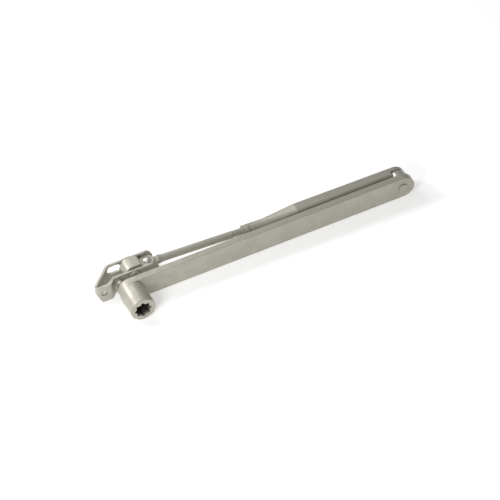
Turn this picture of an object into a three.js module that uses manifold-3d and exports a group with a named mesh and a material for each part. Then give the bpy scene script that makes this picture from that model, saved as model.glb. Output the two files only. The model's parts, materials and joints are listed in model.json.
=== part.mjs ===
// Double-lever arm of an overhead door closer, folded flat and standing on its lower edges.
// Millimetres, +Z up. X runs along the main arm from the spindle to the elbow, and Y runs along
// the pins, from the socket's mouth to the back. The origin is on the spindle axis, at the mouth.
import * as THREE from "three";
import { mergeVertices } from "three/addons/utils/BufferGeometryUtils.js";
import { ConvexGeometry } from "three/addons/geometries/ConvexGeometry.js";
import Module from "manifold-3d";

// Fits between neighbouring pieces.
const GAP = 0.3;
const BORE_GAP = 0.3;
const PAST = 5;
const LAP = 0.05;
const MERGE_TOLERANCE = 1e-4;
const ROUND_FINE = 48;
const ROUND_SMALL = 32;
const ARC_STEPS = 16;
const FOLD_STEPS = 5;

// Main arm: a flat bar with the spindle boss at one end.
const ARM_CENTRES = 290;
const BAR_WIDTH = 24.5;
const BAR_THICKNESS = 7.3;
const BAR_BEVEL = 0.5;
const BOSS_RADIUS = 13;
const BOSS_LENGTH = 27;
const BOSS_CHAMFER = 1.1;
const SPIGOT_RADIUS = 8.6;
const SOCKET_SQUARE = 13;
const SOCKET_POINTS = 8;
const SOCKET_DEPTH = 24;
const ARM_SCREW_BORE = 4.4;
const BAR_FRONT = BOSS_LENGTH;
const BAR_BACK = BAR_FRONT + BAR_THICKNESS;

// Forearm: a folded channel that draws in to a round sleeve.
const FOREARM_NEAR = 37.7;
const FOREARM_FAR_AT_ELBOW = 48.4;
const FOREARM_FAR_AT_TAPER = 50.2;
const FOREARM_HALF_HEIGHT = 11.65;
const FOREARM_WALL = 2.2;
const FOREARM_CORNER = 2.6;
const TAPER_WIDE_X = 182;
const TAPER_ROUND_X = 149;
const SLEEVE_MOUTH_X = 133.6;
const SLEEVE_RADIUS = 5.7;
const CHANNEL_STOP_X = 274;
const NOTCH_X = 284;
const NOTCH_RADIUS = 10.8;
const EAR_NEAR = 42.8;
const EAR_CENTRE_X = 287.8;

// Elbow: a riveted pin with a bush between the bar and the forearm's ear.
const ELBOW_PIN_RADIUS = 3.6;
const ELBOW_HEAD_RADIUS = 4.8;
const ELBOW_HEAD_HEIGHT = 1.2;
const ELBOW_BUSH_RADIUS = 10.4;
const ELBOW_WASHER_RADIUS = 7.6;
const ELBOW_WASHER_THICKNESS = 1.4;
const ELBOW_TAIL_RADIUS = 5.6;
const ELBOW_TAIL_HEIGHT = 1.8;

// Adjusting rod: it leans from the sleeve to the knuckle, in the XY plane.
const ROD_LEAN = THREE.MathUtils.degToRad(3.3);
const ROD_RADIUS = 3.8;
const ROD_END = 124;
const ROD_POINT = 3;
const COLLAR_LENGTH = 7.4;
const COLLAR_RADIUS = 5.7;
const TONGUE_THICKNESS = 2.8;
const TONGUE_EYE_RADIUS = 6.3;
const TONGUE_HALF_WIDTH = 4.6;
const SHOULDER_START = 9.6;
const SHOULDER_RADIUS = 4.6;
const SHOULDER_ROUND = 0.9;
const FLARE_END = 17;

// Knuckle: it turns in the shoe on one pin and carries the rod on the other, which crosses it.
const CROSS_PIN_X = 27.8;
const SHOE_PIN_X = 10.7;
const SHOE_MID_Y = 55.2;
const HUB_HALF_WIDTH = 6.6;
const HUB_RADIUS = 9.4;
const HUB_FLAT_X = 20.2;
const HUB_CORNER = 2;
const FORK_RADIUS = 7.3;
const FORK_INNER = 1.7;
const FORK_OUTER = 3.9;
const CROSS_PIN_RADIUS = 2.8;
const CROSS_HEAD_RADIUS = 3.9;
const CROSS_HEAD_HEIGHT = 1.7;

// Shoe: one strap folded into a loop, whose two cheeks hold the knuckle.
const SHEET = 2.4;
const CHEEK_NEAR = 45.2;
const CHEEK_FAR = 65.2;
const CHEEK_END_X = 36.5;
const CHEEK_CORNER = 8.3;
const STRAP_TOP = 7.1;
const STRAP_BOTTOM = -13;
const TAB_FRONT = 39.3;
const FOLD_RADIUS = 2.2;
const EASY_FOLD_RADIUS = 5;
const TRIM_LOW_X = -27.2;
const TRIM_HIGH_X = -34.2;
const TRIM_HIGH_Z = 3;
const TAB_HOLE_X = -24.3;
const TAB_HOLE_Z = -1.9;
const SCREW_HOLE_RADIUS = 3.1;
const ACCESS_X = -4.5;
const ACCESS_HALF_LENGTH = 7.5;
const ACCESS_HALF_HEIGHT = 4.9;
const SPACER_X = -6.8;
const SPACER_RADIUS = 4.3;
const SPACER_TAIL_RADIUS = 3.75;
const SHOE_PIN_RADIUS = 3.2;
const SHOE_HEAD_RADIUS = 6.5;
const SHOE_HEAD_HEIGHT = 2.3;
const SHOE_TAIL_RADIUS = 5.3;
const SHOE_TAIL_HEIGHT = 1.8;
const WEAR_WASHER_RADIUS = 6.2;
const SHOE_WASHER_RADIUS = 6.6;
const SHOE_WASHER_THICKNESS = 1;

const wasm = await Module();
wasm.setup();

// A closed geometry as a solid that can be joined and cut.
function toSolid(geometry) {
  const plain = geometry.index ? geometry.toNonIndexed() : geometry.clone();
  plain.deleteAttribute("normal");
  plain.deleteAttribute("uv");
  const merged = mergeVertices(plain, MERGE_TOLERANCE);
  return new wasm.Manifold(
    new wasm.Mesh({
      numProp: 3,
      vertProperties: merged.getAttribute("position").array,
      triVerts: new Uint32Array(merged.index.array),
    }),
  );
}

function toGeometry(solid) {
  const mesh = solid.getMesh();
  const geometry = new THREE.BufferGeometry();
  geometry.setAttribute("position", new THREE.BufferAttribute(mesh.vertProperties, 3));
  geometry.setIndex(new THREE.BufferAttribute(mesh.triVerts, 1));
  geometry.computeVertexNormals();
  return geometry;
}

function join(first, ...others) {
  return others.reduce((solid, other) => solid.add(other), first);
}

function cut(first, ...tools) {
  return tools.reduce((solid, tool) => solid.subtract(tool), first);
}

// A shape drawn in X and Z, as a plate between two values of Y.
function plateAcrossY(shape, y0, y1, steps = ARC_STEPS) {
  const geometry = new THREE.ExtrudeGeometry(shape, {
    depth: y1 - y0,
    bevelEnabled: false,
    curveSegments: steps,
  });
  return toSolid(geometry.rotateX(Math.PI / 2).translate(0, y1, 0));
}

// A shape drawn in X and Y, as a plate between two values of Z.
function plateAcrossZ(shape, z0, z1, steps = ARC_STEPS) {
  const geometry = new THREE.ExtrudeGeometry(shape, {
    depth: z1 - z0,
    bevelEnabled: false,
    curveSegments: steps,
  });
  return toSolid(geometry.translate(0, 0, z0));
}

function cylinderAlongY(radius, y0, y1, x, z = 0, segments = ROUND_SMALL) {
  const geometry = new THREE.CylinderGeometry(radius, radius, y1 - y0, segments);
  return toSolid(geometry.translate(x, (y0 + y1) / 2, z));
}

function cylinderAlongZ(radius, z0, z1, x, y, segments = ROUND_SMALL) {
  const geometry = new THREE.CylinderGeometry(radius, radius, z1 - z0, segments);
  return toSolid(geometry.rotateX(Math.PI / 2).translate(x, y, (z0 + z1) / 2));
}

function block(x0, x1, y0, y1, z0, z1) {
  const geometry = new THREE.BoxGeometry(x1 - x0, y1 - y0, z1 - z0);
  return toSolid(geometry.translate((x0 + x1) / 2, (y0 + y1) / 2, (z0 + z1) / 2));
}

// A turned piece on the Y axis, from pairs of radius and height that start and end on the axis.
function turned(profile, segments = ROUND_FINE) {
  const points = profile.map(([radius, height]) => new THREE.Vector2(radius, height));
  return new THREE.LatheGeometry(points, segments);
}

// A slot outline with round ends at x0 and x1.
function slotShape(x0, x1, radius, y = 0) {
  const shape = new THREE.Shape();
  shape.absarc(x0, y, radius, Math.PI / 2, (3 * Math.PI) / 2, false);
  shape.absarc(x1, y, radius, -Math.PI / 2, Math.PI / 2, false);
  shape.closePath();
  return shape;
}

// The low dome of a rivet head: points from its crown out to its rim.
function domePoints(radius, crown, height, rim) {
  const steps = 4;
  const points = [];
  for (let i = 0; i <= steps; i += 1) {
    const angle = (i / steps) * (Math.PI / 2);
    const drop = (height - rim) * (1 - Math.cos(angle));
    points.push([radius * Math.sin(angle), crown + Math.sign(height) * Math.abs(drop)]);
  }
  return points;
}

function named(name, solid, colour, roughness, metalness) {
  const geometry = solid.isBufferGeometry ? solid : toGeometry(solid);
  const material = new THREE.MeshStandardMaterial({ color: colour, roughness, metalness });
  const mesh = new THREE.Mesh(geometry, material);
  mesh.name = name;
  return mesh;
}

const painted = (name, solid) => named(name, solid, 0xb9b5ac, 0.42, 0.55);
const plated = (name, solid) => named(name, solid, 0xc9c8c4, 0.3, 0.9);
const steel = (name, solid) => named(name, solid, 0x9c9a95, 0.45, 0.85);

// --- Main arm -------------------------------------------------------------------------------

function mainArmBar() {
  const outline = slotShape(0, ARM_CENTRES, BAR_WIDTH / 2 - BAR_BEVEL);
  const geometry = new THREE.ExtrudeGeometry(outline, {
    depth: BAR_THICKNESS - 2 * BAR_BEVEL,
    bevelThickness: BAR_BEVEL,
    bevelSize: BAR_BEVEL,
    bevelSegments: 1,
    curveSegments: ARC_STEPS,
  });
  const bar = toSolid(geometry.rotateX(Math.PI / 2).translate(0, BAR_BACK - BAR_BEVEL, 0));
  return cut(
    bar,
    cylinderAlongY(SPIGOT_RADIUS + BORE_GAP, BAR_FRONT - PAST, BAR_BACK + PAST, 0, 0, ROUND_FINE),
    cylinderAlongY(ELBOW_PIN_RADIUS + BORE_GAP, BAR_FRONT - PAST, BAR_BACK + PAST, ARM_CENTRES),
  );
}

// The socket is two squares on one centre, an eighth of a turn apart.
function socketShape() {
  const half = SOCKET_SQUARE / 2;
  const tip = half * Math.SQRT2;
  const root = half / Math.cos(Math.PI / SOCKET_POINTS);
  const points = [];
  for (let i = 0; i < 2 * SOCKET_POINTS; i += 1) {
    const angle = (i * Math.PI) / SOCKET_POINTS;
    const radius = i % 2 === 0 ? tip : root;
    points.push(new THREE.Vector2(radius * Math.cos(angle), radius * Math.sin(angle)));
  }
  return new THREE.Shape(points);
}

function spindleBoss() {
  const body = toSolid(
    turned([
      [0, 0],
      [BOSS_RADIUS - BOSS_CHAMFER, 0],
      [BOSS_RADIUS, BOSS_CHAMFER],
      [BOSS_RADIUS, BAR_FRONT - GAP],
      [SPIGOT_RADIUS, BAR_FRONT - GAP],
      [SPIGOT_RADIUS, BAR_BACK],
      [0, BAR_BACK],
    ]),
  );
  return cut(
    body,
    plateAcrossY(socketShape(), -PAST, SOCKET_DEPTH),
    cylinderAlongY(ARM_SCREW_BORE, SOCKET_DEPTH - 1, BAR_BACK + PAST, 0),
  );
}

// --- Elbow ----------------------------------------------------------------------------------

function elbowPin() {
  const shank = BAR_FRONT - GAP;
  const tail = FOREARM_FAR_AT_ELBOW + ELBOW_WASHER_THICKNESS + 2 * GAP;
  const crown = shank - ELBOW_HEAD_HEIGHT;
  return turned([
    ...domePoints(ELBOW_HEAD_RADIUS, crown, ELBOW_HEAD_HEIGHT, 0.4),
    [ELBOW_HEAD_RADIUS, shank],
    [ELBOW_PIN_RADIUS, shank],
    [ELBOW_PIN_RADIUS, tail],
    [ELBOW_TAIL_RADIUS, tail],
    [ELBOW_TAIL_RADIUS - 1.2, tail + ELBOW_TAIL_HEIGHT],
    [0, tail + ELBOW_TAIL_HEIGHT],
  ]);
}

// A ring on the Y axis, with its outer edges eased.
function ring(bore, radius, y0, y1, ease) {
  return turned([
    [bore, y0],
    [radius - ease, y0],
    [radius, y0 + ease],
    [radius, y1 - ease],
    [radius - ease, y1],
    [bore, y1],
    [bore, y0],
  ]);
}

// --- Forearm --------------------------------------------------------------------------------

// The rod's axis: where it is in Y at a given X.
function rodAxisY(x) {
  return SHOE_MID_Y - (x - CROSS_PIN_X) * Math.tan(ROD_LEAN);
}

// A rounded rectangle of points across X, between two walls, up to a top and down to a bottom.
function sectionPoints(x, y0, y1, top, bottom, corner) {
  const points = [];
  const corners = [
    [y1 - corner, top - corner, 0],
    [y0 + corner, top - corner, 1],
    [y0 + corner, bottom + corner, 2],
    [y1 - corner, bottom + corner, 3],
  ];
  for (const [y, z, quarter] of corners) {
    for (let i = 0; i <= FOLD_STEPS; i += 1) {
      const angle = ((quarter + i / FOLD_STEPS) * Math.PI) / 2;
      points.push(new THREE.Vector3(x, y + corner * Math.cos(angle), z + corner * Math.sin(angle)));
    }
  }
  return points;
}

// A circle of points about the rod's axis.
function circlePoints(x, radius) {
  const points = [];
  for (let i = 0; i < ROUND_SMALL; i += 1) {
    const angle = (2 * Math.PI * i) / ROUND_SMALL;
    const across = radius * Math.cos(angle);
    const lean = new THREE.Vector3(
      x + across * Math.sin(ROD_LEAN),
      rodAxisY(x) + across * Math.cos(ROD_LEAN),
      radius * Math.sin(angle),
    );
    points.push(lean);
  }
  return points;
}

// The ear's round end: the channel's corner runs on round its far edge.
function roundedEnd() {
  const far = FOREARM_FAR_AT_ELBOW + 0.2;
  const corner = FOREARM_CORNER;
  const points = [
    [0, FOREARM_NEAR - PAST],
    [FOREARM_HALF_HEIGHT, FOREARM_NEAR - PAST],
  ];
  for (let i = 0; i <= FOLD_STEPS; i += 1) {
    const angle = ((i / FOLD_STEPS) * Math.PI) / 2;
    const inward = corner * (1 - Math.cos(angle));
    points.push([FOREARM_HALF_HEIGHT - inward, far - corner * (1 - Math.sin(angle))]);
  }
  return turned([...points, [0, far]]);
}

function hullOf(...groups) {
  return toSolid(new ConvexGeometry(groups.flat()));
}

function forearmChannel() {
  const end = ARM_CENTRES + FOREARM_HALF_HEIGHT + 1;
  const top = FOREARM_HALF_HEIGHT;
  const wall = FOREARM_WALL;
  const low = -top - PAST;
  const innerCorner = FOREARM_CORNER - wall + 0.6;
  const bore = ROD_RADIUS + BORE_GAP;
  const outerAt = (x, far) => sectionPoints(x, FOREARM_NEAR, far, top, -top, FOREARM_CORNER);
  const innerAt = (x, far) =>
    sectionPoints(x, FOREARM_NEAR + wall, far - wall, top - wall, low, innerCorner);
  const outer = join(
    hullOf(outerAt(TAPER_WIDE_X, FOREARM_FAR_AT_TAPER), outerAt(end, FOREARM_FAR_AT_ELBOW)),
    hullOf(
      outerAt(TAPER_WIDE_X + LAP, FOREARM_FAR_AT_TAPER),
      circlePoints(TAPER_ROUND_X - LAP, SLEEVE_RADIUS),
    ),
    hullOf(circlePoints(TAPER_ROUND_X, SLEEVE_RADIUS), circlePoints(SLEEVE_MOUTH_X, SLEEVE_RADIUS)),
  );
  const inner = join(
    hullOf(innerAt(TAPER_WIDE_X, FOREARM_FAR_AT_TAPER), innerAt(CHANNEL_STOP_X, FOREARM_FAR_AT_ELBOW)),
    hullOf(
      innerAt(TAPER_WIDE_X + LAP, FOREARM_FAR_AT_TAPER),
      circlePoints(TAPER_ROUND_X - LAP, bore),
    ),
    hullOf(circlePoints(TAPER_ROUND_X, bore), circlePoints(SLEEVE_MOUTH_X - PAST, bore)),
  );
  const rounded = outer.intersect(
    join(
      block(SLEEVE_MOUTH_X - 2 * PAST, EAR_CENTRE_X, FOREARM_NEAR - PAST, CHEEK_FAR, low, -low),
      toSolid(roundedEnd().translate(EAR_CENTRE_X, 0, 0)),
    ),
  );
  return cut(
    rounded,
    inner,
    block(NOTCH_X, end + PAST, FOREARM_NEAR - PAST, EAR_NEAR, low, -low),
    cylinderAlongY(NOTCH_RADIUS, FOREARM_NEAR - PAST, EAR_NEAR, ARM_CENTRES, 0, ROUND_FINE),
    cylinderAlongY(ELBOW_PIN_RADIUS + BORE_GAP, FOREARM_NEAR, CHEEK_FAR, ARM_CENTRES),
  );
}

// --- Adjusting rod, along local X from the cross pin to the sleeve ---------------------------

function alongX(geometry) {
  return toSolid(geometry.rotateZ(-Math.PI / 2));
}

function adjustingRod() {
  const half = TONGUE_THICKNESS / 2;
  const rod = alongX(
    turned(
      [
        [0, SHOULDER_START],
        [SHOULDER_RADIUS - SHOULDER_ROUND, SHOULDER_START],
        [SHOULDER_RADIUS, SHOULDER_START + SHOULDER_ROUND],
        [ROD_RADIUS, FLARE_END],
        [ROD_RADIUS, ROD_END - ROD_POINT],
        [ROD_RADIUS - 1.2, ROD_END],
        [0, ROD_END],
      ],
      ROUND_SMALL,
    ),
  );
  const arm = new THREE.Shape();
  arm.moveTo(0, -TONGUE_HALF_WIDTH);
  arm.lineTo(SHOULDER_START + 0.5, SHOULDER_ROUND - SHOULDER_RADIUS);
  arm.lineTo(SHOULDER_START + 0.5, SHOULDER_RADIUS - SHOULDER_ROUND);
  arm.lineTo(0, TONGUE_HALF_WIDTH);
  arm.closePath();
  const tongue = join(
    cylinderAlongZ(TONGUE_EYE_RADIUS, -half, half, 0, 0),
    plateAcrossZ(arm, -half, half),
  );
  return cut(join(rod, tongue), cylinderAlongZ(CROSS_PIN_RADIUS + BORE_GAP, -PAST, PAST, 0, 0));
}

function lockCollar() {
  return ring(ROD_RADIUS + BORE_GAP, COLLAR_RADIUS, 0, COLLAR_LENGTH, 0.5);
}

// --- Knuckle --------------------------------------------------------------------------------

function knuckle() {
  const eased = HUB_FLAT_X - HUB_CORNER;
  const outline = new THREE.Shape();
  outline.absarc(SHOE_PIN_X, 0, HUB_RADIUS, Math.PI / 2, (3 * Math.PI) / 2, false);
  outline.absarc(eased, HUB_CORNER - HUB_RADIUS, HUB_CORNER, -Math.PI / 2, 0, false);
  outline.absarc(eased, HUB_RADIUS - HUB_CORNER, HUB_CORNER, 0, Math.PI / 2, false);
  outline.closePath();
  const body = plateAcrossY(outline, SHOE_MID_Y - HUB_HALF_WIDTH, SHOE_MID_Y + HUB_HALF_WIDTH);
  const cheek = new THREE.Shape();
  cheek.moveTo(HUB_FLAT_X - 1, SHOE_MID_Y - HUB_HALF_WIDTH);
  cheek.lineTo(CROSS_PIN_X, SHOE_MID_Y - FORK_RADIUS);
  cheek.absarc(CROSS_PIN_X, SHOE_MID_Y, FORK_RADIUS, -Math.PI / 2, Math.PI / 2, false);
  cheek.lineTo(HUB_FLAT_X - 1, SHOE_MID_Y + HUB_HALF_WIDTH);
  cheek.closePath();
  return cut(
    join(
      body,
      plateAcrossZ(cheek, FORK_INNER, FORK_OUTER),
      plateAcrossZ(cheek, -FORK_OUTER, -FORK_INNER),
    ),
    cylinderAlongY(SHOE_PIN_RADIUS + BORE_GAP, CHEEK_NEAR, CHEEK_FAR, SHOE_PIN_X),
    cylinderAlongZ(CROSS_PIN_RADIUS + BORE_GAP, -PAST, PAST, CROSS_PIN_X, SHOE_MID_Y),
  );
}

// The cross pin stands on local Y, and is turned upright where it is placed.
function crossPin() {
  const seat = FORK_OUTER + GAP;
  const crown = -seat - CROSS_HEAD_HEIGHT;
  return turned(
    [
      ...domePoints(CROSS_HEAD_RADIUS, crown, CROSS_HEAD_HEIGHT, 0.3),
      [CROSS_HEAD_RADIUS, -seat],
      [CROSS_PIN_RADIUS, -seat],
      [CROSS_PIN_RADIUS, seat],
      [CROSS_HEAD_RADIUS, seat],
      [CROSS_HEAD_RADIUS - 0.9, seat + 1.2],
      [0, seat + 1.2],
    ],
    ROUND_SMALL,
  );
}

// --- Shoe -----------------------------------------------------------------------------------

// The outline of a folded strip: corners of its middle line, each with the radius of its fold.
function stripOutline(corners, thickness) {
  const path = new THREE.Path();
  path.moveTo(corners[0].x, corners[0].y);
  for (let i = 1; i < corners.length - 1; i += 1) {
    const here = new THREE.Vector2(corners[i].x, corners[i].y);
    const before = new THREE.Vector2(corners[i - 1].x, corners[i - 1].y).sub(here).normalize();
    const after = new THREE.Vector2(corners[i + 1].x, corners[i + 1].y).sub(here).normalize();
    const half = Math.acos(before.dot(after)) / 2;
    const radius = corners[i].fold;
    const reach = radius / Math.tan(half);
    const bisector = before.clone().add(after).normalize();
    const centre = here.clone().addScaledVector(bisector, radius / Math.sin(half));
    const start = here.clone().addScaledVector(before, reach);
    const stop = here.clone().addScaledVector(after, reach);
    const from = start.clone().sub(centre).angle();
    const to = stop.clone().sub(centre).angle();
    const turnsLeft = before.clone().negate().cross(after) > 0;
    path.lineTo(start.x, start.y);
    path.absarc(centre.x, centre.y, radius, from, to, !turnsLeft);
  }
  const last = corners[corners.length - 1];
  path.lineTo(last.x, last.y);
  const middle = path.getPoints(FOLD_STEPS * 2).filter(
    (point, i, all) => i === 0 || point.distanceTo(all[i - 1]) > 0.01,
  );
  const sides = [[], []];
  middle.forEach((point, i) => {
    const before = middle[Math.max(i - 1, 0)];
    const after = middle[Math.min(i + 1, middle.length - 1)];
    const along = after.clone().sub(before).normalize();
    const across = new THREE.Vector2(-along.y, along.x).multiplyScalar(thickness / 2);
    sides[0].push(point.clone().add(across));
    sides[1].push(point.clone().sub(across));
  });
  return new THREE.Shape([...sides[0], ...sides[1].reverse()]);
}

// The strap seen from the front: rounded cheek ends, and a trimmed corner under the left fold.
function strapSideView() {
  const shape = new THREE.Shape();
  const right = CHEEK_END_X - CHEEK_CORNER;
  const left = -50;
  shape.moveTo(left, STRAP_TOP);
  shape.lineTo(left, TRIM_HIGH_Z);
  shape.lineTo(TRIM_HIGH_X, TRIM_HIGH_Z);
  shape.lineTo(TRIM_LOW_X, STRAP_BOTTOM);
  shape.lineTo(right, STRAP_BOTTOM);
  shape.absarc(right, STRAP_BOTTOM + CHEEK_CORNER, CHEEK_CORNER, -Math.PI / 2, 0, false);
  shape.absarc(right, STRAP_TOP - CHEEK_CORNER, CHEEK_CORNER, 0, Math.PI / 2, false);
  shape.closePath();
  return shape;
}

function shoeStrap() {
  const half = SHEET / 2;
  const tab = TAB_FRONT + half;
  const near = CHEEK_NEAR + half;
  const far = CHEEK_FAR - half;
  const slantFoot = -34.4;
  const corners = [
    { x: CHEEK_END_X + PAST, y: near },
    { x: -11.6, y: near, fold: 3.4 },
    { x: -16.6, y: tab, fold: 2.6 },
    { x: slantFoot, y: tab, fold: FOLD_RADIUS },
    { x: slantFoot + (far - tab), y: far, fold: EASY_FOLD_RADIUS },
    { x: CHEEK_END_X + PAST, y: far },
  ];
  const folded = plateAcrossZ(stripOutline(corners, SHEET), STRAP_BOTTOM - 1, STRAP_TOP + 1);
  const strap = folded.intersect(plateAcrossY(strapSideView(), TAB_FRONT - PAST, CHEEK_FAR + PAST));
  const access = slotShape(
    ACCESS_X - ACCESS_HALF_LENGTH + ACCESS_HALF_HEIGHT,
    ACCESS_X + ACCESS_HALF_LENGTH - ACCESS_HALF_HEIGHT,
    ACCESS_HALF_HEIGHT,
  );
  return cut(
    strap,
    cylinderAlongY(SCREW_HOLE_RADIUS, TAB_FRONT - PAST, near, TAB_HOLE_X, TAB_HOLE_Z),
    cylinderAlongY(SPACER_TAIL_RADIUS + BORE_GAP, TAB_FRONT, near + PAST, SPACER_X),
    cylinderAlongY(SHOE_PIN_RADIUS + BORE_GAP, TAB_FRONT, CHEEK_FAR + PAST, SHOE_PIN_X),
    plateAcrossY(access, SHOE_MID_Y, CHEEK_FAR + PAST),
  );
}

function shoePivotPin() {
  const seat = CHEEK_NEAR - GAP;
  const tail = CHEEK_FAR + SHOE_WASHER_THICKNESS + 2 * GAP;
  return turned([
    ...domePoints(SHOE_HEAD_RADIUS, seat - SHOE_HEAD_HEIGHT, SHOE_HEAD_HEIGHT, 0.6),
    [SHOE_HEAD_RADIUS, seat],
    [SHOE_PIN_RADIUS, seat],
    [SHOE_PIN_RADIUS, tail],
    [SHOE_TAIL_RADIUS, tail],
    [SHOE_TAIL_RADIUS - 1.1, tail + SHOE_TAIL_HEIGHT],
    [0, tail + SHOE_TAIL_HEIGHT],
  ]);
}

// A tube that keeps the near cheek's screw in the same plane as the tab.
function screwSpacer() {
  const seat = CHEEK_NEAR - GAP;
  const end = CHEEK_NEAR + SHEET + 0.6;
  return turned(
    [
      [SCREW_HOLE_RADIUS, TAB_FRONT],
      [SPACER_RADIUS - 0.4, TAB_FRONT],
      [SPACER_RADIUS, TAB_FRONT + 0.4],
      [SPACER_RADIUS, seat],
      [SPACER_TAIL_RADIUS, seat],
      [SPACER_TAIL_RADIUS, end],
      [SCREW_HOLE_RADIUS, end],
      [SCREW_HOLE_RADIUS, TAB_FRONT],
    ],
    ROUND_SMALL,
  );
}

// --- Assembly -------------------------------------------------------------------------------

function placed(mesh, x, y = 0, z = 0) {
  mesh.position.set(x, y, z);
  return mesh;
}

const mainArm = new THREE.Group();
mainArm.add(
  painted("main_arm_bar", mainArmBar()),
  painted("spindle_boss", spindleBoss()),
  placed(painted("elbow_pin", elbowPin()), ARM_CENTRES),
);

const bushBore = ELBOW_PIN_RADIUS + BORE_GAP;
const bush = ring(bushBore, ELBOW_BUSH_RADIUS, BAR_BACK + GAP, EAR_NEAR - GAP, 0.7);
const elbowWasher = ring(
  bushBore,
  ELBOW_WASHER_RADIUS,
  FOREARM_FAR_AT_ELBOW + GAP,
  FOREARM_FAR_AT_ELBOW + GAP + ELBOW_WASHER_THICKNESS,
  0.3,
);
const collar = placed(
  plated("lock_collar", lockCollar()),
  SLEEVE_MOUTH_X - GAP - COLLAR_LENGTH * Math.cos(ROD_LEAN),
);
collar.position.y = rodAxisY(collar.position.x);
collar.rotation.z = -Math.PI / 2 - ROD_LEAN;

const forearm = new THREE.Group();
forearm.add(
  painted("forearm_channel", forearmChannel()),
  placed(plated("elbow_bush", bush), ARM_CENTRES),
  placed(plated("elbow_washer", elbowWasher), ARM_CENTRES),
  collar,
);

const rod = new THREE.Group();
rod.position.set(CROSS_PIN_X, SHOE_MID_Y, 0);
rod.rotation.z = -ROD_LEAN;
rod.add(painted("adjusting_rod", adjustingRod()));

const uprightPin = placed(plated("cross_pin", crossPin()), CROSS_PIN_X, SHOE_MID_Y);
uprightPin.rotation.x = -Math.PI / 2;
const knuckleGroup = new THREE.Group();
knuckleGroup.add(painted("knuckle", knuckle()), uprightPin);

const nearInside = CHEEK_NEAR + SHEET;
const farInside = CHEEK_FAR - SHEET;
const hubNear = SHOE_MID_Y - HUB_HALF_WIDTH;
const hubFar = SHOE_MID_Y + HUB_HALF_WIDTH;
const pinBore = SHOE_PIN_RADIUS + BORE_GAP;
const shoe = new THREE.Group();
shoe.add(
  painted("shoe_strap", shoeStrap()),
  placed(painted("shoe_pivot_pin", shoePivotPin()), SHOE_PIN_X),
  placed(painted("screw_spacer", screwSpacer()), SPACER_X),
);
const washers = [
  ["wear_washer_near", nearInside + GAP, hubNear - GAP, WEAR_WASHER_RADIUS],
  ["wear_washer_far", hubFar + GAP, farInside - GAP, WEAR_WASHER_RADIUS],
  [
    "pivot_tail_washer",
    CHEEK_FAR + GAP,
    CHEEK_FAR + GAP + SHOE_WASHER_THICKNESS,
    SHOE_WASHER_RADIUS,
  ],
];
for (const [name, y0, y1, radius] of washers) {
  shoe.add(placed(steel(name, ring(pinBore, radius, y0, y1, 0.1)), SHOE_PIN_X));
}

const arm = new THREE.Group();
arm.add(mainArm, forearm, rod, knuckleGroup, shoe);

export default arm;
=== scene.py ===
import json
import math

import bmesh
import bpy
from mathutils import Matrix, Vector


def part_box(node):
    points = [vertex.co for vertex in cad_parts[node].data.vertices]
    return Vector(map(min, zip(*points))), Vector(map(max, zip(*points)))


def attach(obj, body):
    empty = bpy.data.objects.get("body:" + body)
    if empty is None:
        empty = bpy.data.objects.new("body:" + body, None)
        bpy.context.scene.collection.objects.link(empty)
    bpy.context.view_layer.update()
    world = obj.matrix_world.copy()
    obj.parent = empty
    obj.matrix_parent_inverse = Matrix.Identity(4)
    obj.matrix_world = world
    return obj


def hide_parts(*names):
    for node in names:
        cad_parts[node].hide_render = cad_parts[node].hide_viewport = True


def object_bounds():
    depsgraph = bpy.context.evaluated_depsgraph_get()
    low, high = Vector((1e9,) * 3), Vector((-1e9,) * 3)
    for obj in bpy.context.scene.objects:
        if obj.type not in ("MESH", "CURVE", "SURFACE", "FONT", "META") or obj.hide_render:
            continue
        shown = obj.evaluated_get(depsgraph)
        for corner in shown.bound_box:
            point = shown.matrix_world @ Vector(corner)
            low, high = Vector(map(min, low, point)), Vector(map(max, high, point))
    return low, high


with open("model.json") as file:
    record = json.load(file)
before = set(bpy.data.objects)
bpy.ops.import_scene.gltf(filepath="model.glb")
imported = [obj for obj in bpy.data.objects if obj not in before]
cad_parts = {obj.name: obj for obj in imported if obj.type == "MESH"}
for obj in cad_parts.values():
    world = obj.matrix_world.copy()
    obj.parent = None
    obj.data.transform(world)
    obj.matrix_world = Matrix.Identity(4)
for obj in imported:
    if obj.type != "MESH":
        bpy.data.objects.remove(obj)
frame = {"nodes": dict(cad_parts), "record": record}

MM = 0.001
CAD_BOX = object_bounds()
FINE_ROUND = 96
SMALL_ROUND = 64
SHARP = math.radians(28)
CREASE = math.radians(50)
GAP = 0.3 * MM
SOCKET_DEPTH = 24 * MM
WELD = 0.002 * MM


# --- Bench tools ------------------------------------------------------------------------------

def edge_loop(bm, points):
    """A closed loop of edges through the points."""
    verts = [bm.verts.new(p) for p in points]
    return [bm.edges.new((v, verts[(i + 1) % len(verts)])) for i, v in enumerate(verts)]


def circle(radius, x, y, z, count=FINE_ROUND):
    """Points of a circle round an axis along Y."""
    turns = [2 * math.pi * i / count for i in range(count)]
    return [(x + radius * math.cos(a), y, z + radius * math.sin(a)) for a in turns]


def skin(bm, loops):
    """Joins each loop to the next, and the last to the first, into one closed shell."""
    for here, there in zip(loops, loops[1:] + loops[:1]):
        if len(here) == len(there):
            bmesh.ops.bridge_loops(bm, edges=here + there)
        else:
            bmesh.ops.triangle_fill(bm, edges=here + there, use_beauty=True, use_dissolve=False)


def plate(bm, loops, thickness):
    """A flat plate from an outline and its holes, thickened by a vector."""
    edges = [edge for points in loops for edge in edge_loop(bm, points)]
    filled = bmesh.ops.triangle_fill(bm, edges=edges, use_beauty=True, use_dissolve=False)
    faces = [g for g in filled["geom"] if isinstance(g, bmesh.types.BMFace)]
    grown = bmesh.ops.extrude_face_region(bm, geom=faces, use_keep_orig=True)
    verts = [g for g in grown["geom"] if isinstance(g, bmesh.types.BMVert)]
    bmesh.ops.translate(bm, vec=thickness, verts=verts)
    tidy(bm)


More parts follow.
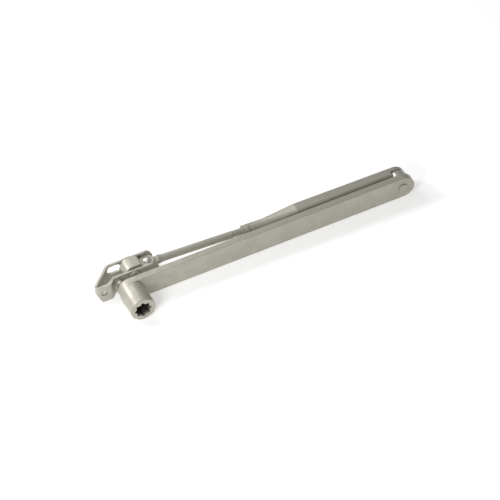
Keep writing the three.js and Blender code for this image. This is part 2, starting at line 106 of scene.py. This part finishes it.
def sharp_edges(bm, where=lambda edge: True):
    """Edges of two faces that meet at more than the sharp angle."""
    return [e for e in bm.edges if len(e.link_faces) == 2 and e.calc_face_angle() > SHARP and where(e)]


def ease(bm, width, segments=3, where=lambda edge: True):
    """Rounds the sharp edges."""
    bmesh.ops.bevel(
        bm,
        geom=sharp_edges(bm, where),
        offset=width,
        offset_type="OFFSET",
        affect="EDGES",
        segments=segments,
        profile=0.5,
        material=-1,
        clamp_overlap=True,
    )


def tidy(bm):
    """Welds points that coincide and turns the faces outwards."""
    bmesh.ops.remove_doubles(bm, verts=bm.verts, dist=WELD)
    bmesh.ops.dissolve_degenerate(bm, dist=WELD, edges=bm.edges)
    bmesh.ops.recalc_face_normals(bm, faces=bm.faces)


def take_in(bm, other):
    """Adds the other mesh to this one, as a shell of its own."""
    mesh = bpy.data.meshes.new("shell")
    other.to_mesh(mesh)
    other.free()
    bm.from_mesh(mesh)
    bpy.data.meshes.remove(mesh)


def piece(name, bm, node, finish):
    """Makes the finished mesh an object that rides with its CAD node's body and stands for it."""
    tidy(bm)
    mesh = bpy.data.meshes.new(name)
    bm.to_mesh(mesh)
    bm.free()
    mesh.polygons.foreach_set("use_smooth", [True] * len(mesh.polygons))
    mesh.set_sharp_from_angle(angle=CREASE)
    made = bpy.data.objects.new(name, mesh)
    bpy.context.scene.collection.objects.link(made)
    normals = made.modifiers.new("flat faces stay flat", "WEIGHTED_NORMAL")
    normals.keep_sharp = True
    normals.weight = 80
    made.data.materials.append(FINISHES[finish])
    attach(made, BODY_OF[node])
    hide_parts(node)
    return made


def spun(profile, place, axis, count=FINE_ROUND):
    """A turned piece: pairs of radius and height, spun about an axis through place."""
    bm = bmesh.new()
    verts = [bm.verts.new((r * MM, 0, h * MM)) for r, h in profile]
    edges = [bm.edges.new(pair) for pair in zip(verts, verts[1:])]
    if profile[0][0] > 0:
        edges.append(bm.edges.new((verts[-1], verts[0])))
    bmesh.ops.spin(
        bm,
        geom=verts + edges,
        cent=(0, 0, 0),
        axis=(0, 0, 1),
        angle=2 * math.pi,
        steps=count,
        use_merge=True,
    )
    bmesh.ops.remove_doubles(bm, verts=bm.verts, dist=0.001 * MM)
    bmesh.ops.recalc_face_normals(bm, faces=bm.faces)
    turn = Vector((0, 0, 1)).rotation_difference(Vector(axis)).to_matrix().to_4x4()
    bmesh.ops.transform(bm, matrix=Matrix.Translation(place) @ turn, verts=bm.verts)
    return bm


def soften(profile, reach, closed=False):
    """The profile with its corners rounded."""
    points = [Vector(p) for p in profile]
    made = []
    for i, here in enumerate(points):
        before, after = points[i - 1] - here, points[(i + 1) % len(points)] - here
        if not closed and i in (0, len(points) - 1) or before.angle(after) > math.radians(150):
            made.append(here)
            continue
        cut = min(reach, 0.45 * before.length, 0.45 * after.length)
        start, stop = here + cut * before.normalized(), here + cut * after.normalized()
        for t in (0, 0.25, 0.5, 0.75, 1):
            made.append(start * (1 - t) ** 2 + here * 2 * t * (1 - t) + stop * t * t)
    return [tuple(p) for p in made]


def dome(radius, crown, seat, rim, steps=10):
    """Profile of a rivet head from its crown on the axis to its seat: heights run from crown to seat."""
    sign = 1 if seat > crown else -1
    rise = abs(seat - crown) - rim
    points = []
    for i in range(steps + 1):
        a = i / steps * math.pi / 2
        points.append((radius * math.sin(a), crown + sign * rise * (1 - math.cos(a))))
    return points + [(radius, seat)]


BODY_OF = {
    node: body for body, nodes in frame["record"]["behaviour"]["bodies"].items() for node in nodes
}


# --- Finishes ---------------------------------------------------------------------------------

def node_group(name, inputs, outputs):
    """An empty shader group with its sockets, and its input and output nodes."""
    group = bpy.data.node_groups.new(name, "ShaderNodeTree")
    for label, value in inputs:
        socket = group.interface.new_socket(label, in_out="INPUT", socket_type="NodeSocketFloat")
        socket.default_value = value
    for label in outputs:
        group.interface.new_socket(label, in_out="OUTPUT", socket_type="NodeSocketFloat")
    return group, group.nodes.new("NodeGroupInput"), group.nodes.new("NodeGroupOutput")


def noise(tree, scale, detail, roughness, vector):
    made = tree.nodes.new("ShaderNodeTexNoise")
    made.inputs["Scale"].default_value = scale
    made.inputs["Detail"].default_value = detail
    made.inputs["Roughness"].default_value = roughness
    tree.links.new(vector, made.inputs["Vector"])
    return made.outputs["Fac"]


def maths(tree, operation, a, b=None, clamp=False):
    """A Math node on one or two values, each a number or a socket."""
    made = tree.nodes.new("ShaderNodeMath")
    made.operation = operation
    made.use_clamp = clamp
    for value, socket in zip((a, b), made.inputs):
        if value is None:
            continue
        if isinstance(value, (int, float)):
            socket.default_value = value
        else:
            tree.links.new(value, socket)
    return made.outputs[0]


def ranged(tree, value, low, high, to_low=0.0, to_high=1.0):
    """Maps low to high smoothly on to another range."""
    made = tree.nodes.new("ShaderNodeMapRange")
    made.interpolation_type = "SMOOTHSTEP"
    tree.links.new(value, made.inputs["Value"])
    for label, number in zip(("From Min", "From Max", "To Min", "To Max"), (low, high, to_low, to_high)):
        made.inputs[label].default_value = number
    return made.outputs["Result"]


def sprayed_coat():
    """Sprayed metallic paint: clouds of flake, single flakes, and the soft peel of its surface."""
    group, given, out = node_group(
        "sprayed_coat", [("Peel", 1.0), ("Flake", 1.0)], ["Cloud", "Flakes", "Height"]
    )
    place = group.nodes.new("ShaderNodeTexCoord").outputs["Object"]
    cloud = noise(group, 95, 4, 0.6, place)
    fine = noise(group, 2600, 1, 0.4, place)
    peel = noise(group, 620, 2, 0.5, place)
    grit = noise(group, 3400, 2, 0.6, place)
    group.links.new(ranged(group, cloud, 0.32, 0.68), out.inputs["Cloud"])
    flakes = maths(group, "MULTIPLY", ranged(group, fine, 0.42, 0.7), given.outputs["Flake"])
    group.links.new(flakes, out.inputs["Flakes"])
    rolled = maths(group, "MULTIPLY", peel, given.outputs["Peel"])
    group.links.new(maths(group, "ADD", rolled, maths(group, "MULTIPLY", grit, 0.22)), out.inputs["Height"])
    return group


def rubbed_edges():
    """Where corners have been rubbed bright, broken up along the edge."""
    group, given, out = node_group("rubbed_edges", [("Amount", 1.0)], ["Rub"])
    place = group.nodes.new("ShaderNodeTexCoord").outputs["Object"]
    rounded = group.nodes.new("ShaderNodeBevel")
    rounded.samples = 4
    rounded.inputs["Radius"].default_value = 0.7 * MM
    plain = group.nodes.new("ShaderNodeNewGeometry")
    compare = group.nodes.new("ShaderNodeVectorMath")
    compare.operation = "DOT_PRODUCT"
    group.links.new(rounded.outputs["Normal"], compare.inputs[0])
    group.links.new(plain.outputs["Normal"], compare.inputs[1])
    turned_away = maths(group, "SUBTRACT", 1.0, compare.outputs["Value"])
    edge = ranged(group, turned_away, 0.01, 0.13)
    broken = ranged(group, noise(group, 260, 4, 0.65, place), 0.4, 0.66)
    rub = maths(group, "MULTIPLY", maths(group, "MULTIPLY", edge, broken), given.outputs["Amount"], True)
    group.links.new(rub, out.inputs["Rub"])
    return group


def tool_lines():
    """Fine rings and scratches that a lathe or a tumbling barrel leaves on steel."""
    group, given, out = node_group("tool_lines", [("Pitch", 1.0)], ["Lines", "Height"])
    place = group.nodes.new("ShaderNodeTexCoord").outputs["Object"]
    stretch = group.nodes.new("ShaderNodeMapping")
    stretch.inputs["Scale"].default_value = (0.12, 1.0, 0.12)
    group.links.new(place, stretch.inputs["Vector"])
    rings = noise(group, 2400, 3, 0.6, stretch.outputs["Vector"])
    marks = noise(group, 420, 5, 0.7, place)
    lines = maths(group, "MULTIPLY", ranged(group, rings, 0.3, 0.7), given.outputs["Pitch"])
    group.links.new(maths(group, "ADD", maths(group, "MULTIPLY", marks, 0.5), lines), out.inputs["Height"])
    group.links.new(lines, out.inputs["Lines"])
    return group


def use(tree, group, **values):
    """Places a shader group in a material with its own values."""
    made = tree.nodes.new("ShaderNodeGroup")
    made.node_tree = group
    for label, value in values.items():
        made.inputs[label].default_value = value
    return made


def mixed(tree, factor, a, b):
    """A blend of two colours, each a colour or a socket."""
    made = tree.nodes.new("ShaderNodeMix")
    made.data_type = "RGBA"
    made.clamp_factor = True
    tree.links.new(factor, made.inputs["Factor"])
    for value, side in ((a, "A"), (b, "B")):
        pick = [s for s in made.inputs if s.name == side and s.type == "RGBA"][0]
        if isinstance(value, tuple):
            pick.default_value = (*value, 1.0)
        else:
            tree.links.new(value, pick)
    return [s for s in made.outputs if s.type == "RGBA"][0]


def bumped(tree, height, distance, strength, shader):
    bump = tree.nodes.new("ShaderNodeBump")
    bump.inputs["Distance"].default_value = distance
    bump.inputs["Strength"].default_value = strength
    tree.links.new(height, bump.inputs["Height"])
    tree.links.new(bump.outputs["Normal"], shader.inputs["Normal"])


def new_finish(name):
    material = bpy.data.materials.new(name)
    material.use_nodes = True
    tree = material.node_tree
    return material, tree, tree.nodes["Principled BSDF"]


def socket_painted_shade():
    """Painted shade: a mask of the spindle socket's inside, which grows from its mouth inwards, so the
    hollow is darkened as if shade fell in it.
    """
    group, given, out = node_group("socket_painted_shade", [("Radius", 9.3 * MM), ("Mouth", 0.2 * MM)], ["Dust"])
    place = group.nodes.new("ShaderNodeTexCoord").outputs["Object"]
    parts = group.nodes.new("ShaderNodeSeparateXYZ")
    group.links.new(place, parts.inputs[0])
    squares = [maths(group, "POWER", parts.outputs[side], 2.0) for side in ("X", "Z")]
    across = maths(group, "SQRT", maths(group, "ADD", *squares))
    within = maths(group, "LESS_THAN", across, given.outputs["Radius"])
    past = maths(group, "SUBTRACT", parts.outputs["Y"], given.outputs["Mouth"])
    depth = ranged(group, past, 0.0, 5 * MM)
    before_bar = maths(group, "LESS_THAN", parts.outputs["Y"], SOCKET_DEPTH + 2 * MM)
    painted_shade = maths(group, "MULTIPLY", maths(group, "MULTIPLY", within, before_bar), depth)
    group.links.new(painted_shade, out.inputs["Dust"])
    return group


def silver_paint():
    """Satin aluminium paint, rubbed bright at the corners, with painted shade darkening the inside of the
    socket.
    """
    material, tree, shader = new_finish("silver_paint")
    painted_shade = use(tree, GROUPS["painted_socket_shade"])
    coat = use(tree, GROUPS["coat"], Peel=1.0, Flake=1.0)
    rub = use(tree, GROUPS["edges"], Amount=0.75)
    body = mixed(tree, coat.outputs["Cloud"], (0.385, 0.37, 0.312), (0.43, 0.414, 0.352))
    flecked = mixed(tree, maths(tree, "MULTIPLY", coat.outputs["Flakes"], 0.25), body, (0.56, 0.545, 0.49))
    worn = mixed(tree, rub.outputs["Rub"], flecked, (0.66, 0.65, 0.6))
    # painted shade: the socket's inside is blended towards near black, standing in for the shade in the
    # hollow
    socket_shaded = mixed(tree, maths(tree, "MULTIPLY", painted_shade.outputs["Dust"], 0.9), worn, (0.03, 0.029, 0.026))
    tree.links.new(socket_shaded, shader.inputs["Base Color"])
    matt = ranged(tree, coat.outputs["Cloud"], 0, 1, 0.5, 0.42)
    rough = maths(tree, "SUBTRACT", matt, maths(tree, "MULTIPLY", rub.outputs["Rub"], 0.14))
    tree.links.new(rough, shader.inputs["Roughness"])
    metal = maths(tree, "ADD", 0.38, maths(tree, "MULTIPLY", rub.outputs["Rub"], 0.5), True)
    tree.links.new(metal, shader.inputs["Metallic"])
    bumped(tree, coat.outputs["Height"], 0.06 * MM, 0.35, shader)
    return material


def steel(name, pitch, peel, flake, dark, light, line, rough, strength):
    """Steel with tool marks: a cloudy tone between dark and light, and brighter lines."""
    material, tree, shader = new_finish(name)
    lines = use(tree, GROUPS["lines"], Pitch=pitch)
    coat = use(tree, GROUPS["coat"], Peel=peel, Flake=flake)
    body = mixed(tree, coat.outputs["Cloud"], dark, light)
    lined = mixed(tree, lines.outputs["Lines"], body, line)
    tree.links.new(lined, shader.inputs["Base Color"])
    tree.links.new(ranged(tree, coat.outputs["Cloud"], 0, 1, *rough), shader.inputs["Roughness"])
    shader.inputs["Metallic"].default_value = 0.85
    bumped(tree, lines.outputs["Height"], 0.03 * MM, strength, shader)
    return material


def plated_steel():
    """Bright zinc plate on the elbow's bush and washer and on the cross pin."""
    dark, light, line = (0.5, 0.49, 0.45), (0.6, 0.59, 0.55), (0.66, 0.65, 0.61)
    return steel("plated_steel", 1.0, 0.4, 0.5, dark, light, line, (0.46, 0.34), 0.3)


def bare_steel():
    """Plain pressed steel of the shoe's washers."""
    dark, light, line = (0.33, 0.32, 0.30), (0.47, 0.46, 0.44), (0.55, 0.54, 0.52)
    return steel("bare_steel", 0.8, 0.6, 0.2, dark, light, line, (0.48, 0.36), 0.35)


GROUPS = {
    "coat": sprayed_coat(),
    "edges": rubbed_edges(),
    "lines": tool_lines(),
    "painted_socket_shade": socket_painted_shade(),
}
FINISHES = {
    "silver_paint": silver_paint(),
    "plated_steel": plated_steel(),
    "bare_steel": bare_steel(),
}


# --- Main arm ---------------------------------------------------------------------------------

BAR_LOW, BAR_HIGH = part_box("main_arm_bar")
BOSS_LOW, BOSS_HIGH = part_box("spindle_boss")
BAR_RADIUS = (BAR_HIGH.z - BAR_LOW.z) / 2
ELBOW_X = BAR_HIGH.x - BAR_RADIUS
BOSS_RADIUS = (BOSS_HIGH.x - BOSS_LOW.x) / 2
SPIGOT_RADIUS = 8.6 * MM
SOCKET_SQUARE = 13 * MM
TIP_FLAT = 0.022
TIP_TRIM = 0.985
MOUTH_ROUND = 1.1 * MM
ARM_SCREW_BORE = 4.4 * MM
ELBOW_PIN_RADIUS = 3.6 * MM
TAIL_HEIGHT = 1.8


def slot_outline(x0, x1, radius, y):
    """Points of a straight bar with round ends, in a plane across Y."""
    half_turn = FINE_ROUND // 2
    points = []
    for end, first in ((x0, math.pi / 2), (x1, -math.pi / 2)):
        for i in range(half_turn + 1):
            a = first + math.pi * i / half_turn
            points.append((end + radius * math.cos(a), y, radius * math.sin(a)))
    return points


def make_bar():
    """The flat main arm, with its holes for the boss's spigot and the elbow pin."""
    bm = bmesh.new()
    holes = [
        circle(SPIGOT_RADIUS + GAP, 0, BAR_LOW.y, 0),
        circle(ELBOW_PIN_RADIUS + GAP, ELBOW_X, BAR_LOW.y, 0, SMALL_ROUND),
    ]
    outline = slot_outline(0, ELBOW_X, BAR_RADIUS, BAR_LOW.y)
    plate(bm, [outline, *holes], (0, BAR_HIGH.y - BAR_LOW.y, 0))
    ease(bm, 0.7 * MM, 4)
    return piece("main_arm_bar_pressed", bm, "main_arm_bar", "silver_paint")


def socket_outline(y):
    """Two squares an eighth of a turn apart, with the broach's small flats at the tips."""
    tip = TIP_TRIM * SOCKET_SQUARE / 2 * math.sqrt(2)
    root = SOCKET_SQUARE / 2 / math.cos(math.pi / 8)
    points = []
    for i in range(8):
        along = math.pi / 4 * i
        for step in (-TIP_FLAT, TIP_FLAT):
            points.append((tip * math.cos(along + step), y, tip * math.sin(along + step)))
        between = along + math.pi / 8
        points.append((root * math.cos(between), y, root * math.sin(between)))
    return points


def make_boss():
    """The spindle boss: an eight-point socket, a bore for the arm screw and a spigot through the bar."""
    bm = bmesh.new()
    mouth, shoulder = BOSS_LOW.y, BAR_LOW.y - GAP
    back = BAR_HIGH.y
    loops = [
        circle(BOSS_RADIUS, 0, mouth, 0),
        circle(BOSS_RADIUS, 0, shoulder, 0),
        circle(SPIGOT_RADIUS, 0, shoulder, 0),
        circle(SPIGOT_RADIUS, 0, back, 0),
        circle(ARM_SCREW_BORE, 0, back, 0),
        circle(ARM_SCREW_BORE, 0, SOCKET_DEPTH, 0),
        socket_outline(SOCKET_DEPTH),
        socket_outline(mouth),
    ]
    skin(bm, [edge_loop(bm, points) for points in loops])
    tidy(bm)

    def rim(edge):
        ends = [v.co for v in edge.verts]
        return all(c.y < mouth + 0.01 * MM and c.xz.length > 0.9 * BOSS_RADIUS for c in ends)

    ease(bm, MOUTH_ROUND, 5, rim)
    ease(bm, 0.3 * MM, 3, lambda edge: not rim(edge) and edge.calc_face_angle() > math.radians(40))
    return piece("spindle_boss_turned", bm, "spindle_boss", "silver_paint")


def spread_tail(pin, spread, rim, flat, end):
    """Profile of a rivet's tail, spread over its washer from the pin's radius and closed at its end."""
    seat = end - TAIL_HEIGHT
    return [(pin, seat), (spread, seat), (spread, seat + rim), (flat, end), (0, end)]


def make_elbow_rivet():
    """The elbow pin: a low domed head on the bar's face, and a tail spread over the washer."""
    low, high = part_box("elbow_pin")
    pin, seat = ELBOW_PIN_RADIUS / MM, (BAR_LOW.y - GAP) / MM
    head = dome(4.8, low.y / MM, seat, 0.4)
    profile = [*head, (pin, seat), *spread_tail(pin, 5.6, 0.6, 4.4, high.y / MM)]
    bm = spun(soften(profile, 0.35), (ELBOW_X, 0, 0), (0, 1, 0))
    return piece("elbow_rivet", bm, "elbow_pin", "silver_paint")


def make_ring(name, node, finish, bore, radius, round_over):
    """A turned ring the length of its CAD node along Y."""
    low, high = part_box(node)
    middle = (low + high) / 2
    half = (high.y - low.y) / 2 / MM
    profile = [(bore, -half), (radius, -half), (radius, half), (bore, half)]
    bm = spun(soften(profile, round_over, True), middle, (0, 1, 0))
    return piece(name, bm, node, finish)


# --- Forearm and shoe: pressed from sheet -------------------------------------------------------

def make_pressed(name, node, width):
    """A pressed piece: its CAD shape as one clean shell, with its cut edges rounded."""
    bm = bmesh.new()
    bm.from_mesh(frame["nodes"][node].data)
    bmesh.ops.remove_doubles(bm, verts=bm.verts, dist=0.004 * MM)
    bmesh.ops.dissolve_limit(bm, angle_limit=math.radians(0.6), verts=bm.verts, edges=bm.edges)
    ease(bm, width * MM)
    return piece(name, bm, node, "silver_paint")


# --- Adjusting rod ------------------------------------------------------------------------------

CROSS_PIN = Vector((27.8, 55.2, 0)) * MM
ROD_LEAN = math.radians(3.3)
ROD_FRAME = Matrix.Translation(CROSS_PIN) @ Matrix.Rotation(-ROD_LEAN, 4, "Z")
ROD_AXIS = ROD_FRAME.to_3x3() @ Vector((1, 0, 0))
ROD_RADIUS = 3.8
ROD_END = 124.0
THREAD_START, THREAD_END = 89.5, 121.0
THREAD_PITCH = 1.25
THREAD_DEPTH = 0.5
THREAD_STEPS = 36
TONGUE_HALF, TONGUE_EYE, TONGUE_END, TONGUE_HALF_WIDTH = 1.4, 6.3, 11, 3.7
CROSS_BORE = 3.1
EYE_STEPS = 48


def add_thread(bm):
    """A ridge wound round the rod's threaded end, as a helix on local Z, capped at both ends."""
    root, crest = ROD_RADIUS - THREAD_DEPTH - 0.2, ROD_RADIUS
    section = [(root, -0.5), (crest, -0.12), (crest, 0.12), (root, 0.5)]
    verts = [bm.verts.new((r * MM, 0, (THREAD_START + h) * MM)) for r, h in section]
    edges = [bm.edges.new((v, verts[(i + 1) % 4])) for i, v in enumerate(verts)]
    turns = round((THREAD_END - THREAD_START) / THREAD_PITCH)
    bmesh.ops.contextual_create(bm, geom=verts)
    wound = bmesh.ops.spin(
        bm,
        geom=verts + edges,
        cent=(0, 0, 0),
        axis=(0, 0, 1),
        dvec=(0, 0, THREAD_PITCH * MM / THREAD_STEPS),
        angle=2 * math.pi * turns,
        steps=THREAD_STEPS * turns,
    )
    last = [g for g in wound["geom_last"] if isinstance(g, bmesh.types.BMVert)]
    bmesh.ops.contextual_create(bm, geom=last)


def add_tongue(bm):
    """The rod's flattened end: an eye for the cross pin, narrowing into the shoulder."""
    z = -TONGUE_HALF * MM
    end, side = TONGUE_END * MM, TONGUE_HALF_WIDTH * MM
    points = []
    for i in range(EYE_STEPS + 1):
        a = math.pi / 2 + math.pi * i / EYE_STEPS
        points.append((TONGUE_EYE * math.cos(a) * MM, TONGUE_EYE * math.sin(a) * MM, z))
    points += [(end, -side, z), (end, side, z)]
    turns = [2 * math.pi * i / EYE_STEPS for i in range(EYE_STEPS)]
    hole = [(CROSS_BORE * math.cos(a) * MM, CROSS_BORE * math.sin(a) * MM, z) for a in turns]
    plate(bm, [points, hole], (0, 0, 2 * TONGUE_HALF * MM))
    ease(bm, 0.4 * MM)


def make_rod():
    """The adjusting rod: a flat tongue, a rounded shoulder that draws in, and a threaded end."""
    flat = bmesh.new()
    add_tongue(flat)
    tidy(flat)
    profile = [
        (0, 9.6),
        (3.7, 9.6),
        (4.6, 10.5),
        (4.35, 12.6),
        (3.95, 15),
        (ROD_RADIUS, 17),
        (ROD_RADIUS, THREAD_START - 1.2),
        (ROD_RADIUS - THREAD_DEPTH, THREAD_START - 0.4),
        (ROD_RADIUS - THREAD_DEPTH, THREAD_END),
        (2.4, ROD_END),
        (0, ROD_END),
    ]
    shaft = spun(soften(profile, 0.5), (0, 0, 0), (0, 0, 1), SMALL_ROUND)
    add_thread(shaft)
    stand = Matrix.Rotation(math.pi / 2, 4, "Y")
    bmesh.ops.transform(shaft, matrix=stand, verts=shaft.verts)
    take_in(flat, shaft)
    bmesh.ops.transform(flat, matrix=ROD_FRAME, verts=flat.verts)
    return piece("adjusting_rod_threaded", flat, "adjusting_rod", "silver_paint")


# --- Knuckle ------------------------------------------------------------------------------------

SHOE_PIN_X = 10.7
SHOE_PIN_RADIUS = 3.2
PIVOT_BORE = 3.5
HUB_RADIUS, HUB_RIGHT, HUB_HALF_WIDTH, HUB_CORNER = 9.4, 20.2, 6.6, 2.0
FORK_RADIUS, FORK_INNER, FORK_OUTER = 7.3, 1.7, 3.9


def arc(x, y, radius, first, last, count):
    """Points of an arc between two angles in degrees, both ends among them."""
    angles = [math.radians(first + (last - first) * i / count) for i in range(count + 1)]
    return [(x + radius * math.cos(a), y + radius * math.sin(a)) for a in angles]


def add_hub(bm):
    """A hub rounded about the shoe's pivot pin, with a flat side towards the fork."""
    near = CROSS_PIN.y / MM - HUB_HALF_WIDTH
    turn_x, turn_z = HUB_RIGHT - HUB_CORNER, HUB_RADIUS - HUB_CORNER
    side = [
        *arc(SHOE_PIN_X, 0, HUB_RADIUS, 90, 270, 48),
        *arc(turn_x, -turn_z, HUB_CORNER, -90, 0, 8),
        *arc(turn_x, turn_z, HUB_CORNER, 0, 90, 8),
    ]
    outline = [(x * MM, near * MM, z * MM) for x, z in side]
    bore = circle(PIVOT_BORE * MM, SHOE_PIN_X * MM, near * MM, 0, SMALL_ROUND)
    plate(bm, [outline, bore], (0, 2 * HUB_HALF_WIDTH * MM, 0))
    ease(bm, 0.55 * MM)


def add_fork(fork):
    """Two plates over and under the rod's tongue, with a hole for the cross pin."""
    pin_x, pin_y = CROSS_PIN.x / MM, CROSS_PIN.y / MM
    root = HUB_RIGHT - 1
    top = [
        (root, pin_y - HUB_HALF_WIDTH),
        *arc(pin_x, pin_y, FORK_RADIUS, -90, 90, 48),
        (root, pin_y + HUB_HALF_WIDTH),
    ]
    for z in (FORK_INNER, -FORK_OUTER):
        outline = [(x * MM, y * MM, z * MM) for x, y in top]
        hole = [(x * MM, y * MM, z * MM) for x, y in arc(pin_x, pin_y, CROSS_BORE, 0, 352.5, 47)]
        plate(fork, [outline, hole], (0, 0, (FORK_OUTER - FORK_INNER) * MM))
    ease(fork, 0.4 * MM)


def make_knuckle():
    """The knuckle: a hub with a fork, forged in one."""
    hub, fork = bmesh.new(), bmesh.new()
    add_hub(hub)
    add_fork(fork)
    take_in(hub, fork)
    return piece("knuckle_forged", hub, "knuckle", "silver_paint")


def make_cross_rivet():
    """The cross pin: a domed head over the fork and a flatter one under it."""
    seat = FORK_OUTER + GAP / MM
    foot = -seat - 1.2
    head = dome(3.9, seat + 1.7, seat, 0.3)
    profile = [*head, (2.8, seat), (2.8, -seat), (3.9, -seat), (3.9, -seat - 0.4), (3.0, foot), (0, foot)]
    bm = spun(soften(profile, 0.25), CROSS_PIN, (0, 0, 1), SMALL_ROUND)
    return piece("cross_rivet", bm, "cross_pin", "plated_steel")


def make_shoe_rivet():
    """The shoe's pivot pin: a domed head on the near cheek, and a tail spread over its washer."""
    low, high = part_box("shoe_pivot_pin")
    pin, crown = SHOE_PIN_RADIUS, low.y / MM
    seat = crown + 2.3
    head = dome(6.5, crown, seat, 0.6)
    profile = [*head, (pin, seat), *spread_tail(pin, 5.3, 0.7, 4.2, high.y / MM)]
    bm = spun(soften(profile, 0.3), (SHOE_PIN_X * MM, 0, 0), (0, 1, 0))
    return piece("shoe_rivet", bm, "shoe_pivot_pin", "silver_paint")


def make_spacer():
    """The screw spacer: a flanged sleeve set in the near cheek."""
    low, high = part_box("screw_spacer")
    middle = (low + high) / 2
    front, end = low.y / MM, high.y / MM
    seat = front + 5.6
    profile = [(3.1, front), (4.3, front), (4.3, seat), (3.75, seat), (3.75, end), (3.1, end)]
    place = (middle.x, 0, middle.z)
    bm = spun(soften(profile, 0.4, True), place, (0, 1, 0), SMALL_ROUND)
    return piece("screw_spacer_turned", bm, "screw_spacer", "silver_paint")


def make_collar():
    """The lock collar: a ring on the rod in front of the sleeve, with one rolled groove."""
    low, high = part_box("lock_collar")
    middle = (low + high) / 2
    bore, radius, groove, half = 4.1, 5.7, 5.1, 3.7
    outline = [
        (bore, -half),
        (radius, -half),
        (radius, -1.5),
        (groove, -1.1),
        (groove, -0.6),
        (radius, -0.2),
        (radius, half),
        (bore, half),
    ]
    bm = spun(soften(outline, 0.3, True), middle, ROD_AXIS, SMALL_ROUND)
    return piece("lock_collar_turned", bm, "lock_collar", "silver_paint")


make_bar()
make_boss()
make_elbow_rivet()
make_ring("elbow_bush_turned", "elbow_bush", "plated_steel", 3.9, 10.4, 0.7)
make_ring("elbow_washer_turned", "elbow_washer", "plated_steel", 3.9, 7.6, 0.3)
make_pressed("forearm_pressed", "forearm_channel", 0.4)
make_collar()
make_rod()
make_knuckle()
make_cross_rivet()
make_pressed("shoe_strap_folded", "shoe_strap", 0.35)
make_shoe_rivet()
make_spacer()
make_ring("wear_washer_near_pressed", "wear_washer_near", "bare_steel", 3.5, 6.2, 0.1)
make_ring("wear_washer_far_pressed", "wear_washer_far", "bare_steel", 3.5, 6.2, 0.1)
make_ring("pivot_tail_washer_pressed", "pivot_tail_washer", "bare_steel", 3.5, 6.6, 0.2)


# --- Stage, camera and light --------------------------------------------------------------------

def make_floor():
    """A pale floor at the arm's lowest point."""
    bm = bmesh.new()
    bmesh.ops.create_grid(bm, x_segments=8, y_segments=8, size=3.0)
    bmesh.ops.translate(bm, vec=(0.12, 0.03, CAD_BOX[0].z), verts=bm.verts)
    mesh = bpy.data.meshes.new("floor")
    bm.to_mesh(mesh)
    bm.free()
    floor = bpy.data.objects.new("floor", mesh)
    bpy.context.scene.collection.objects.link(floor)
    material, tree, shader = new_finish("pale_floor")
    place = tree.nodes.new("ShaderNodeTexCoord").outputs["Object"]
    tone = mixed(tree, noise(tree, 6, 2, 0.5, place), (0.93, 0.93, 0.93), (0.96, 0.96, 0.96))
    tree.links.new(tone, shader.inputs["Base Color"])
    shader.inputs["Roughness"].default_value = 0.9
    shader.inputs["Specular IOR Level"].default_value = 0.1
    tree.links.new(tone, shader.inputs["Emission Color"])
    shader.inputs["Emission Strength"].default_value = 0.4
    floor.data.materials.append(material)


def area_light(name, place, target, size, power):
    """A round soft lamp aimed at a target."""
    data = bpy.data.lights.new(name, "AREA")
    data.shape = "DISK"
    data.size = size
    data.energy = power
    lamp = bpy.data.objects.new(name, data)
    bpy.context.scene.collection.objects.link(lamp)
    lamp.location = place
    lamp.rotation_mode = "QUATERNION"
    lamp.rotation_quaternion = (Vector(target) - Vector(place)).to_track_quat("-Z", "Y")


def make_lights():
    """A key lamp on the socket's end, two behind the arm, and an even white surrounding."""
    area_light("key", (-0.5, -0.5, 0.5), (0.0, 0.0, 0.0), 0.4, 4.0)
    area_light("back left", (-0.75, 0.75, 0.75), (0.05, 0.03, 0.0), 0.45, 8.5)
    area_light("top back", (0.0, 0.46, 0.5), (0.0, 0.05, 0.0), 0.35, 1.05)
    world = bpy.data.worlds.new("studio")
    world.use_nodes = True
    background = world.node_tree.nodes["Background"]
    background.inputs["Color"].default_value = (1, 1, 1, 1)
    background.inputs["Strength"].default_value = 0.3
    bpy.context.scene.world = world
    bpy.context.scene.view_settings.view_transform = "Standard"
    bpy.context.scene.view_settings.look = "None"


def make_camera():
    """A long lens, looking down on the socket's end from the left, with the arm rising to the right."""
    right = Vector((0.908, -0.4117, -0.078))
    toward = Vector((-0.2325, -0.65, 0.7235)).normalized()
    right = (right - right.dot(toward) * toward).normalized()
    up = toward.cross(right)
    target = Vector((0.1243, 0.0270, -0.0047))
    distance, field = 4.0, 0.4855
    data = bpy.data.cameras.new("camera")
    data.sensor_width = 36
    data.lens = data.sensor_width * distance / field
    data.clip_end = 50
    camera = bpy.data.objects.new("camera", data)
    bpy.context.scene.collection.objects.link(camera)
    turn = Matrix((right, up, toward)).transposed().to_4x4()
    camera.matrix_world = Matrix.Translation(target + toward * distance) @ turn
    bpy.context.scene.camera = camera


make_floor()
make_lights()
make_camera()
